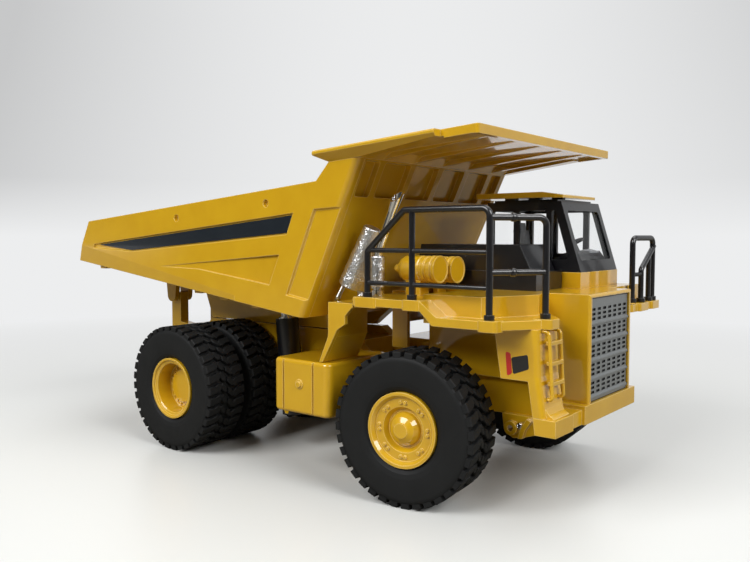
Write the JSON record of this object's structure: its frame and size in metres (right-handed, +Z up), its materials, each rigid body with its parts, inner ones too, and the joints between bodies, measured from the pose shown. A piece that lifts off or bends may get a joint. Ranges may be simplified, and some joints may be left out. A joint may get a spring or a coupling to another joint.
{
  "type": "scale model of a rigid mining dump truck",
  "caption": "Die-cast model of a mining dump truck with a tipping load body and canopy, steered front wheels, twin rear wheels, hoist cylinders, cab, railings and grille.",
  "frame": {"origin": "on the ground, midway between the model's front and rear ends, on its centre line", "axes": "+X forward, +Y to the truck's left, +Z up"},
  "size_m": [0.2108, 0.1004, 0.1059],
  "materials": {
    "yellow_paint": "glossy golden yellow enamel",
    "black_plastic": "satin black",
    "tyre_rubber": "matt grey-black rubber",
    "chrome": "bright plated, crinkled on the muffler",
    "clear_plastic": "clear plastic panes",
    "dark_plastic": "dark grey moulded grille",
    "stripe": "dark stripe inlay"
  },
  "bodies": {
    "chassis": {"frame_rail_right": "yellow_paint", "frame_rail_left": "yellow_paint", "cross_members": "yellow_paint", "rear_axle": "yellow_paint", "front_axle": "yellow_paint", "hood": "yellow_paint", "grille": "dark_plastic", "front_bumper": "yellow_paint", "tow_eyes": "yellow_paint", "deck_right": "yellow_paint", "deck_left": "yellow_paint", "mudguard_right": "yellow_paint", "mudguard_left": "yellow_paint", "fender_box_right": "yellow_paint", "fender_box_left": "yellow_paint", "ladder": "yellow_paint", "fuel_tank": "yellow_paint", "hydraulic_tank": "yellow_paint", "air_cleaners": "yellow_paint", "engine_cover": "black_plastic", "muffler": "chrome", "exhaust_pipe": "chrome", "rail_right": "black_plastic", "rail_left": "black_plastic", "cab_base": "yellow_paint", "cab_shell": "black_plastic", "cab_glass": "clear_plastic", "cab_roof": "yellow_paint", "seat": "black_plastic", "dashboard": "black_plastic", "steering_wheel": "black_plastic"},
    "dump_body": {"bed_floor": "yellow_paint", "bed_side_right": "yellow_paint", "bed_side_left": "yellow_paint", "bed_front_wall": "yellow_paint", "bed_canopy": "yellow_paint", "bolster_right": "yellow_paint", "bolster_left": "yellow_paint", "bolster_bars": "yellow_paint", "bed_stripe_right": "stripe", "bed_stripe_left": "stripe"},
    "knuckle_right": {"knuckle_right": "yellow_paint"},
    "front_wheel_right": {"front_tyre_right": "tyre_rubber", "front_rim_right": "yellow_paint"},
    "rear_wheels_right": {"rear_tyres_right": "tyre_rubber", "rear_rim_right": "yellow_paint"},
    "hoist_barrel_right": {"hoist_barrel_right": "black_plastic"},
    "hoist_stage_right": {"hoist_stage_right": "chrome"},
    "hoist_rod_right": {"hoist_rod_right": "chrome"},
    "knuckle_left": {"knuckle_left": "yellow_paint"},
    "front_wheel_left": {"front_tyre_left": "tyre_rubber", "front_rim_left": "yellow_paint"},
    "rear_wheels_left": {"rear_tyres_left": "tyre_rubber", "rear_rim_left": "yellow_paint"},
    "hoist_barrel_left": {"hoist_barrel_left": "black_plastic"},
    "hoist_stage_left": {"hoist_stage_left": "chrome"},
    "hoist_rod_left": {"hoist_rod_left": "chrome"}
  },
  "joints": [
    {"name": "bed_tilt", "type": "hinge", "parent": "chassis", "child": "dump_body", "pos_m": [-0.0823, 0, 0.0513], "axis": [0, -1, 0], "range_deg": [0, 45]},
    {"name": "steer_right", "type": "hinge", "parent": "chassis", "child": "knuckle_right", "pos_m": [0.0622, -0.0365, 0.0222], "axis": [0, 0, 1], "range_deg": [-27, 13]},
    {"name": "front_wheel_spin_right", "type": "hinge", "parent": "knuckle_right", "child": "front_wheel_right", "pos_m": [0.0622, -0.0365, 0.0222], "axis": [-0.1219, 0.9925, 0], "continuous": true},
    {"name": "rear_wheels_spin_right", "type": "hinge", "parent": "chassis", "child": "rear_wheels_right", "pos_m": [-0.0368, -0.03, 0.0222], "axis": [0, 1, 0], "continuous": true},
    {"name": "hoist_swing_right", "type": "hinge", "parent": "chassis", "child": "hoist_barrel_right", "pos_m": [-0.0048, -0.02, 0.014], "axis": [0, -1, 0], "range_deg": [0, 10.1]},
    {"name": "hoist_stage_slide_right", "type": "slide", "parent": "hoist_barrel_right", "child": "hoist_stage_right", "axis": [-0.0952, 0, 0.9955], "range_m": [0, 0.0279]},
    {"name": "hoist_rod_slide_right", "type": "slide", "parent": "hoist_stage_right", "child": "hoist_rod_right", "axis": [-0.0952, 0, 0.9955], "range_m": [0, 0.0279]},
    {"name": "steer_left", "type": "hinge", "parent": "chassis", "child": "knuckle_left", "pos_m": [0.0622, 0.0365, 0.0222], "axis": [0, 0, 1], "range_deg": [-27, 13]},
    {"name": "front_wheel_spin_left", "type": "hinge", "parent": "knuckle_left", "child": "front_wheel_left", "pos_m": [0.0622, 0.0365, 0.0222], "axis": [-0.1219, 0.9925, 0], "continuous": true},
    {"name": "rear_wheels_spin_left", "type": "hinge", "parent": "chassis", "child": "rear_wheels_left", "pos_m": [-0.0368, 0.03, 0.0222], "axis": [0, 1, 0], "continuous": true},
    {"name": "hoist_swing_left", "type": "hinge", "parent": "chassis", "child": "hoist_barrel_left", "pos_m": [-0.0048, 0.02, 0.014], "axis": [0, -1, 0], "range_deg": [0, 10.1]},
    {"name": "hoist_stage_slide_left", "type": "slide", "parent": "hoist_barrel_left", "child": "hoist_stage_left", "axis": [-0.0952, 0, 0.9955], "range_m": [0, 0.0279]},
    {"name": "hoist_rod_slide_left", "type": "slide", "parent": "hoist_stage_left", "child": "hoist_rod_left", "axis": [-0.0952, 0, 0.9955], "range_m": [0, 0.0279]}
  ],
  "couplings": [
    {"joint": "hoist_swing_right", "follows": "bed_tilt", "ratio": 0.22254},
    {"joint": "hoist_stage_slide_right", "follows": "bed_tilt", "m_per_rad": 0.035471},
    {"joint": "hoist_rod_slide_right", "follows": "bed_tilt", "m_per_rad": 0.035471},
    {"joint": "hoist_swing_left", "follows": "bed_tilt", "ratio": 0.22254},
    {"joint": "hoist_stage_slide_left", "follows": "bed_tilt", "m_per_rad": 0.035471},
    {"joint": "hoist_rod_slide_left", "follows": "bed_tilt", "m_per_rad": 0.035471},
    {"joint": "steer_left", "follows": "steer_right", "ratio": 1}
  ]
}
